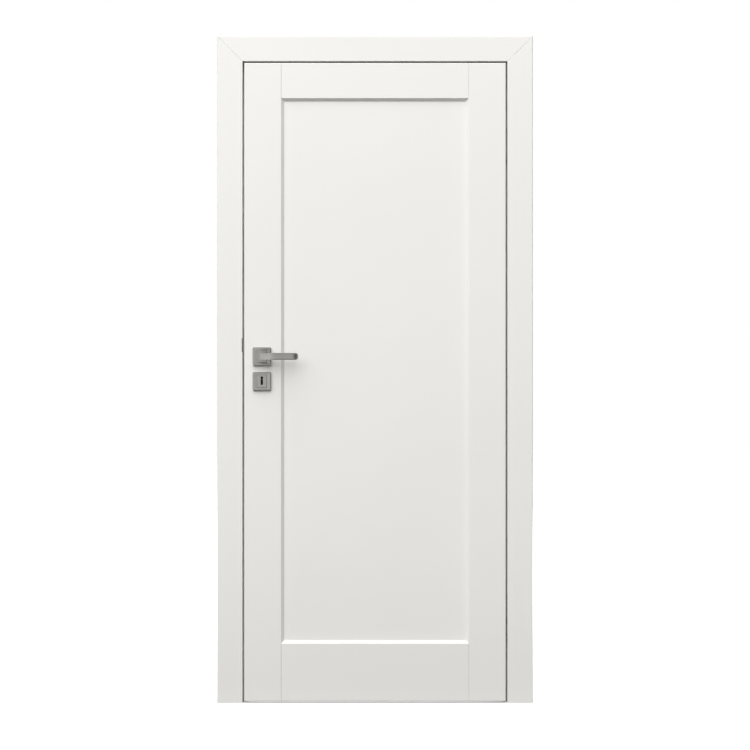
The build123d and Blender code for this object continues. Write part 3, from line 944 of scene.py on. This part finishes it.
@dataclass
class Lever:
    """One lever: a square hub that softens into a rounded bar, whose tip turns back to the leaf.

    A section is carried along two chains, the outer face's and the inner face's. At each step it is a
    rounded rectangle between the two chains' points: the corner radius is small on the hub and grows along
    the bar, and the half height falls at the tip as a quarter circle does.
    """

    node: str
    side: float
    neck_left: float = 4.5 * MM
    neck_width: float = 18.0 * MM
    reach: float = 115.0 * MM
    bar: float = 10.0 * MM
    half_height: float = 10.75 * MM
    bend_at: float = 32.0 * MM
    set_back: float = 3.0 * MM
    tip_return: float = 22.0 * MM
    neck_bend: float = 3.0 * MM
    inner_bend: float = 8.0 * MM
    tip_bend: float = 18.0 * MM
    lean_bend: float = 250.0 * MM
    tip_corner: float = 8.0 * MM
    hub_corner: float = 0.9 * MM
    bar_corner: float = 4.2 * MM
    widest_corner: float = 0.46
    grip_reach: tuple[float, float] = (-6.0 * MM, 14.0 * MM)
    smooth_angle: float = 38.0
    run_steps: list[int] = field(default_factory=lambda: [10, 14, 26, 8])
    arc_steps: int = 12
    corner_steps: int = 7

    def chains(self, out: float, back: float) -> tuple[np.ndarray, np.ndarray]:
        """The outer and inner faces in plan, x from the spindle and y towards the viewer as negative.

        Args:
            out: how far the outer face stands off the leaf.
            back: where the neck ends at the rose, off the leaf.

        Returns:
            Two arrays of points with the same count.
        """
        left, right = -self.neck_left, self.neck_width - self.neck_left
        face, inside = -out, -out + self.bar
        tip, tip_inside = self.reach, self.reach - self.bar
        tip_back = face + self.set_back + self.tip_return
        outer = np.array([(left, -back), (left, face), (self.bend_at, face), (tip, face + self.set_back),
                          (tip, tip_back)])
        inner = np.array([(right, -back), (right, inside), (self.bend_at, inside),
                          (tip_inside, inside + self.set_back), (tip_inside, tip_back)])
        outer_bends = [self.neck_bend, self.lean_bend, self.tip_bend]
        inner_bends = [self.inner_bend, self.lean_bend, self.inner_bend]
        return (rounded_chain(outer, outer_bends, self.run_steps, self.arc_steps),
                rounded_chain(inner, inner_bends, self.run_steps, self.arc_steps))

    def half_heights(self, x: np.ndarray) -> np.ndarray:
        """The half height along the lever: level, then a quarter circle at the tip.

        Args:
            x: distances from the spindle.

        Returns:
            The half height at each.
        """
        past = np.clip(x - (self.reach - self.tip_corner), 0.0, self.tip_corner)
        return self.half_height - self.tip_corner + np.sqrt(self.tip_corner**2 - past**2)

    def section(self, width: np.ndarray, corner: np.ndarray) -> tuple[np.ndarray, np.ndarray]:
        """Rounded rectangles of the full height, one a row. Each corner is a quarter circle.

        Args:
            width: each section's width between the chains.
            corner: each section's corner radius.

        Returns:
            Two arrays of shape (rows, points): the distance from the outer chain, and the height.
        """
        angle = np.linspace(0.0, math.pi / 2, self.corner_steps)
        quarter = np.stack([1.0 - np.sin(angle), 1.0 - np.cos(angle)], axis=-1)
        across, up = [], []
        radius = corner[:, None]
        for inner, upper in ((False, True), (True, True), (True, False), (False, False)):
            turn = quarter if inner == upper else quarter[::-1]
            aside = radius * turn[:, 0][None, :]
            height = self.half_height - radius * turn[:, 1][None, :]
            across.append(width[:, None] - aside if inner else aside)
            up.append(height if upper else -height)
        return np.concatenate(across, axis=1), np.concatenate(up, axis=1)

    def build(self, nickel: bpy.types.Material) -> bpy.types.Object:
        """Make the lever in place of its solid.

        Args:
            nickel: its material.

        Returns:
            The lever.
        """
        front = self.side < 0
        axis = middle_of("spindle")
        leaf_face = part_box("latch_stile")[0 if front else 1].y
        low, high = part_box(self.node)
        far, near = (low.y, high.y) if front else (high.y, low.y)
        outer, inner = self.chains(abs(far - leaf_face), abs(near - leaf_face))
        gap = inner - outer
        width = np.linalg.norm(gap, axis=1)
        grip_start, grip_end = (self.bend_at + distance for distance in self.grip_reach)
        growth = smooth_step((outer[:, 0] + inner[:, 0]) / 2, grip_start, grip_end)
        corner = self.hub_corner + (self.bar_corner - self.hub_corner) * growth
        across, up = self.section(width, np.minimum(corner, self.widest_corner * width))
        plan = outer[:, None, :] + gap[:, None, :] * (across / width[:, None])[:, :, None]
        x = axis.x + plan[:, :, 0]
        y = leaf_face - self.side * plan[:, :, 1]
        z = axis.z + up * self.half_heights(plan[:, :, 0]) / self.half_height
        rows, columns = x.shape
        points = np.stack([x, y, z], axis=-1).reshape(-1, 3)
        faces = grid_faces(rows, columns, True)
        faces.append(tuple(range(columns))[::-1])
        faces.append(tuple(range((rows - 1) * columns, rows * columns)))
        if front:
            faces = [face[::-1] for face in faces]
        lever = to_mesh(f"{self.node}_bar", points, faces, self.smooth_angle)
        # Each ring's share of the bar, stored on the points; by it the nickel paints shade on the bar.
        shares = lever.data.attributes.new(GRIP_SHADE, "FLOAT", "POINT")
        shares.data.foreach_set("value", np.repeat(growth, columns))
        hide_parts(self.node)
        return attach(lever, nickel, Body.HANDLE)


def turned(name: str, profile: np.ndarray, centre: Vector, steps: int = 48) -> bpy.types.Object:
    """Turn a profile about a line along Y.

    A profile point is a radius and a depth: it goes to radius times the cosine and sine of the angle, and the
    depth is added along Y. A flat face closes each end.

    Args:
        name: the object's name.
        profile: the points from end to end, of shape (n, 2).
        centre: where the line starts.
        steps: how many points each ring has.

    Returns:
        The object.
    """
    angle = np.arange(steps) * (2 * math.pi / steps)
    radius, depth = profile[:, 0][:, None], profile[:, 1][:, None]
    x = centre.x + radius * np.cos(angle)
    y = centre.y + np.broadcast_to(depth, x.shape)
    z = centre.z + radius * np.sin(angle)
    rings = np.stack([x, y, z], axis=-1).reshape(-1, 3)
    faces = grid_faces(len(profile), steps, True)
    faces.append(tuple(range(steps))[::-1])
    faces.append(tuple(range(len(rings) - steps, len(rings))))
    if profile[-1, 1] > profile[0, 1]:
        faces = [face[::-1] for face in faces]
    return to_mesh(name, rings, faces)


@dataclass
class Handles:
    """Levers, roses and spindle, with the collar in each rose and the set screw under each lever's neck."""

    rose_round: float = 0.5 * MM
    rose_segments: int = 3
    socket_radius: float = 2.6 * MM
    socket_sunk: float = 0.15 * MM
    socket_from_rose: float = 9.0 * MM
    collar_radius: float = 6.0 * MM
    collar_round: float = 0.5 * MM
    collar_depth: float = 1.2 * MM
    collar_length: float = 3.0 * MM
    collar_steps: int = 6
    # The size, corner and steps of the keyhole's painted shade sheet.
    shade_sheet: Vector = field(default_factory=lambda: Vector((12.0, 2.0, 34.0)) * MM)
    shade_sheet_corner: float = 3.0 * MM
    shade_sheet_steps: int = 5

    def collar(self, side: str, sign: float) -> bpy.types.Object:
        """The bearing collar that the spindle turns in, sunk a little in the rose. Its near-black colour is
        painted shade for the gap round the spindle.

        Args:
            side: front or back.
            sign: -1 at the front, 1 at the back.

        Returns:
            The collar, a disc with a rounded rim.
        """
        low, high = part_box(f"{side}_handle_rose")
        axis = middle_of("spindle")
        face = (low.y if sign < 0 else high.y) - sign * self.collar_depth
        angle = np.linspace(0.0, math.pi / 2, self.collar_steps)
        radius = self.collar_radius - self.collar_round * (1 - np.sin(angle))
        rim = np.stack([radius, self.collar_round * (1 - np.cos(angle))], axis=-1)
        back = np.array([[self.collar_radius, self.collar_length]])
        profile = np.concatenate([rim, back]) * (1.0, -sign)
        return turned(f"{side}_spindle_collar", profile, Vector((axis.x, face, axis.z)))

    def keyhole_shade_sheet(self) -> bpy.types.Object:
        """A near-black sheet across the keyhole in the middle of the lock: painted shade that makes the
        keyhole read dark.

        Its outline is a rounded rectangle: one corner's quarter circle, mirrored to the other three.

        Returns:
            The sheet.
        """
        middle = middle_of("front_key_rose")
        middle.y = middle_of("lock_case").y
        angle = np.linspace(0.0, math.pi / 2, self.shade_sheet_steps)
        quarter = np.stack([np.cos(angle), np.sin(angle)], axis=-1) * self.shade_sheet_corner
        corner = quarter + np.array([self.shade_sheet.x, self.shade_sheet.z]) / 2 - self.shade_sheet_corner
        outline = np.concatenate([corner, corner[::-1] * (-1, 1), corner * (-1, -1), corner[::-1] * (1, -1)])
        count = len(outline)
        depths = np.array([-0.5, 0.5]) * self.shade_sheet.y
        x = np.broadcast_to(middle.x + outline[:, 0], (2, count))
        z = np.broadcast_to(middle.z + outline[:, 1], (2, count))
        y = np.broadcast_to(middle.y + depths[:, None], (2, count))
        points = np.stack([x, y, z], axis=-1).reshape(-1, 3)
        faces = [face[::-1] for face in grid_faces(2, count, True)]
        faces += [tuple(range(count)), tuple(range(count, 2 * count))[::-1]]
        return to_mesh("keyhole_shade_sheet", points, faces)

    def build(self, bar: bpy.types.Material, rose: bpy.types.Material, steel: bpy.types.Material,
              black: bpy.types.Material) -> None:
        """Dress the roses and make the levers.

        Args:
            bar: the levers' material.
            rose: the roses' material.
            steel: the spindle's and set screws' material.
            black: the material of the collars and of the keyhole sheet, near black as painted shade.
        """
        dress("spindle", steel)
        # A near-black sheet in the lock: painted shade in the keyhole.
        attach(self.keyhole_shade_sheet(), black, Body.LEAF)
        for side, sign in (("front", -1.0), ("back", 1.0)):
            # The collar's near-black colour is painted shade round the spindle.
            attach(self.collar(side, sign), black, Body.HANDLE)
            for kind in ("handle", "key"):
                soften(dress(f"{side}_{kind}_rose", rose), self.rose_round, self.rose_segments)
            lever = Lever(f"{side}_lever", sign)
            lever.build(bar)
            low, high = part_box(f"{side}_lever")
            neck_end = high.y if sign < 0 else low.y
            place = Vector((low.x + lever.neck_width / 2, neck_end + sign * self.socket_from_rose, low.z))
            socket = Screw(place, Vector((0.0, 0.0, -1.0)), radius=self.socket_radius,
                           proud=-self.socket_sunk, drive=Drive.HEX)
            attach(screw_set(f"{side}_lever_set_screw", [socket]), steel, Body.HANDLE)


# Studio
@dataclass
class Studio:
    """A pale floor, soft lamps, dark cards and the camera, all placed from the door's own box.

    The lamps hang at an angle of rise and an angle of side, in degrees. The cards give the metal its darker
    reflections.
    """

    eye_height: float = 1.0341
    eye_distance: float = 10.0
    picture_width: float = 2.3645
    sensor: float = 36.0
    view_end: float = 200.0
    floor_size: float = 60.0
    ambient: float = 0.20
    ambient_colour: Colour = (1.0, 0.995, 0.985)
    bounce: Colour = (0.05, 0.0495, 0.048)
    floor_colour: Colour = (0.68, 0.672, 0.66)
    lamp_reach: float = 10.5
    lamp_rise: float = 44.0
    lamp_side: float = 18.0
    lamp_size: tuple[float, float] = (15.0, 13.0)
    lamp_power: float = 2060.0
    rear_share: float = 0.85
    card_colour: Colour = (0.10, 0.10, 0.10)
    card_roughness: float = 0.9
    side_card_at: float = 1.6
    side_card_along: tuple[float, float] = (-5.0, 0.6)
    side_card_up: tuple[float, float] = (0.2, 2.4)
    low_card_half: float = 1.2
    low_card_along: tuple[float, float] = (-1.6, -0.15)
    low_card_up: float = 0.02
    glow: tuple[float, float] = (0.36, 1.0)
    glow_reach: tuple[float, float] = (1.2, 4.5)

    def world(self) -> None:
        """White to the camera, to mirrors and through glass, and a plain soft light for everything else."""
        world = bpy.data.worlds.new("studio")
        bpy.context.scene.world = world
        nodes = Nodes(world)
        seen = nodes.seen("Is Camera Ray", "Is Glossy Ray", "Is Transmission Ray")
        soft = nodes.node("ShaderNodeBackground", {"Color": (*self.ambient_colour, 1.0),
                                                   "Strength": self.ambient})
        white = nodes.node("ShaderNodeBackground", {"Color": (1.0, 1.0, 1.0, 1.0)})
        mix = nodes.node("ShaderNodeMixShader")
        output = nodes.node("ShaderNodeOutputWorld")
        nodes.join(seen, 0, mix, 0)
        nodes.join(soft, 0, mix, 1)
        nodes.join(white, 0, mix, 2)
        nodes.join(mix, 0, output, "Surface")

    def floor(self) -> None:
        """A level floor that is white to the camera where no shadow falls on it.

        The camera and reflections see a paler paint than the other rays do, and a glow that grows with the
        distance from the door.
        """
        half = self.floor_size / 2
        corners = np.array([(-half, -half, 0.0), (half, -half, 0.0), (half, half, 0.0), (-half, half, 0.0)])
        obj = to_mesh("studio_floor", corners, [(0, 1, 2, 3)])
        material = bpy.data.materials.new("studio_floor")
        nodes = Nodes(material)
        seen = nodes.seen("Is Camera Ray", "Is Glossy Ray")
        tone = nodes.node("ShaderNodeMixRGB", {"Color1": (*self.bounce, 1.0),
                                               "Color2": (*self.floor_colour, 1.0)})
        nodes.join(seen, 0, tone, "Fac")
        paint = nodes.node("ShaderNodeBsdfDiffuse")
        nodes.join(tone, "Color", paint, "Color")
        place = nodes.node("ShaderNodeTexCoord")
        reach = nodes.node("ShaderNodeVectorMath", operation="LENGTH")
        nodes.join(place, "Object", reach, 0)
        (near, far), (dim, bright) = self.glow_reach, self.glow
        spread = nodes.node("ShaderNodeMapRange", {"From Min": near, "From Max": far,
                                                   "To Min": dim, "To Max": bright})
        nodes.join(reach, "Value", spread, "Value")
        lift = nodes.node("ShaderNodeMath", operation="MULTIPLY")
        nodes.join(seen, 0, lift, 0)
        nodes.join(spread, "Result", lift, 1)
        glow = nodes.node("ShaderNodeEmission")
        nodes.join(lift, 0, glow, "Strength")
        both = nodes.node("ShaderNodeAddShader")
        nodes.join(paint, 0, both, 0)
        nodes.join(glow, 0, both, 1)
        output = nodes.node("ShaderNodeOutputMaterial")
        nodes.join(both, 0, output, "Surface")
        obj.data.materials.append(material)

    def lamp(self, name: str, towards: Vector, side: float, power: float) -> None:
        """Add a large soft lamp that hangs high before or behind the door, to the left as one faces it.

        Args:
            name: its name.
            towards: the point that it faces.
            side: -1 before the door, 1 behind it.
            power: its power in watts.
        """
        rise, turn = math.radians(self.lamp_rise), math.radians(self.lamp_side)
        level = self.lamp_reach * math.cos(rise)
        arm = Vector((side * level * math.sin(turn), side * level * math.cos(turn),
                      self.lamp_reach * math.sin(rise)))
        data = bpy.data.lights.new(name, "AREA")
        data.shape = "RECTANGLE"
        data.size, data.size_y = self.lamp_size
        data.energy = power
        obj = bpy.data.objects.new(name, data)
        obj.location = towards + arm
        obj.rotation_mode = "QUATERNION"
        obj.rotation_quaternion = (-arm).to_track_quat("-Z", "Y")
        obj.visible_glossy = False
        bpy.context.scene.collection.objects.link(obj)

    def card(self, name: str, corners: np.ndarray) -> None:
        """Add a dark card that only reflections show.

        Args:
            name: its name.
            corners: its four corners.
        """
        obj = to_mesh(name, corners, [(0, 1, 2, 3)])
        material = bpy.data.materials.new(name)
        material.use_nodes = True
        principled = material.node_tree.nodes["Principled BSDF"]
        principled.inputs["Base Color"].default_value = (*self.card_colour, 1.0)
        principled.inputs["Roughness"].default_value = self.card_roughness
        obj.data.materials.append(material)
        obj.visible_camera = False
        obj.visible_diffuse = False
        obj.visible_shadow = False

    def cards(self, centre: Vector) -> None:
        """One card stands to the right of the door and one lies low before it.

        Args:
            centre: the middle of the door's head.
        """
        x = centre.x + self.side_card_at
        (near, far), (foot, top) = self.side_card_along, self.side_card_up
        corners = np.array([(x, near, foot), (x, far, foot), (x, far, top), (x, near, top)])
        self.card("studio_side_card", corners)
        left, right = centre.x - self.low_card_half, centre.x + self.low_card_half
        (near, far), z = self.low_card_along, self.low_card_up
        corners = np.array([(left, near, z), (right, near, z), (right, far, z), (left, far, z)])
        self.card("studio_low_card", corners)

    def camera(self, centre: Vector, face: float) -> None:
        """Add the camera, square on to the door.

        Args:
            centre: the middle of the door's box.
            face: where the door's front face lies along Y.
        """
        data = bpy.data.cameras.new("camera")
        data.sensor_width = self.sensor
        data.lens = self.sensor * self.eye_distance / self.picture_width
        data.clip_end = self.view_end
        obj = bpy.data.objects.new("camera", data)
        obj.location = (centre.x, face - self.eye_distance, self.eye_height)
        obj.rotation_euler = (math.pi / 2, 0.0, 0.0)
        bpy.context.scene.collection.objects.link(obj)
        bpy.context.scene.camera = obj

    def build(self) -> None:
        """Set up the whole studio."""
        low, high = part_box("head_jamb")
        centre = (low + high) / 2
        door_middle = Vector((centre.x, centre.y, high.z / 2))
        self.world()
        self.floor()
        self.camera(centre, low.y)
        self.cards(centre)
        self.lamp("front_lamp", door_middle, -1.0, self.lamp_power)
        self.lamp("rear_lamp", door_middle, 1.0, self.lamp_power * self.rear_share)
        bpy.context.scene.view_settings.view_transform = "Standard"


def main() -> None:
    """Build the studio, then each sub-assembly in order."""
    logging.basicConfig(level=logging.INFO, format="%(name)s: %(message)s")
    white = WHITE.material()
    bar = NICKEL_BAR.material()
    rose = NICKEL_ROSE.material()
    edge = EDGE_STEEL.material()
    lock = LockSet()
    # The lock case behind its faceplate is painted near black as shade.
    case = EDGE_STEEL.material((lock.inside(), LOCK_INSIDE_SHADE))
    screw = SCREW_STEEL.material()
    cast = HINGE_CAST.material()
    rubber = SEAL_GREY.material()
    Studio().build()
    DoorFrame().build(WHITE, white, rubber)
    Leaf().build(WHITE, white)
    Hinges().build(cast, screw)
    lock.build(case, edge, screw)
    # Near black for the collars and the keyhole sheet: painted shade.
    Handles().build(bar, rose, screw, BUSH_AND_SHADE_BLACK.material())


if __name__ == "__main__":
    main()
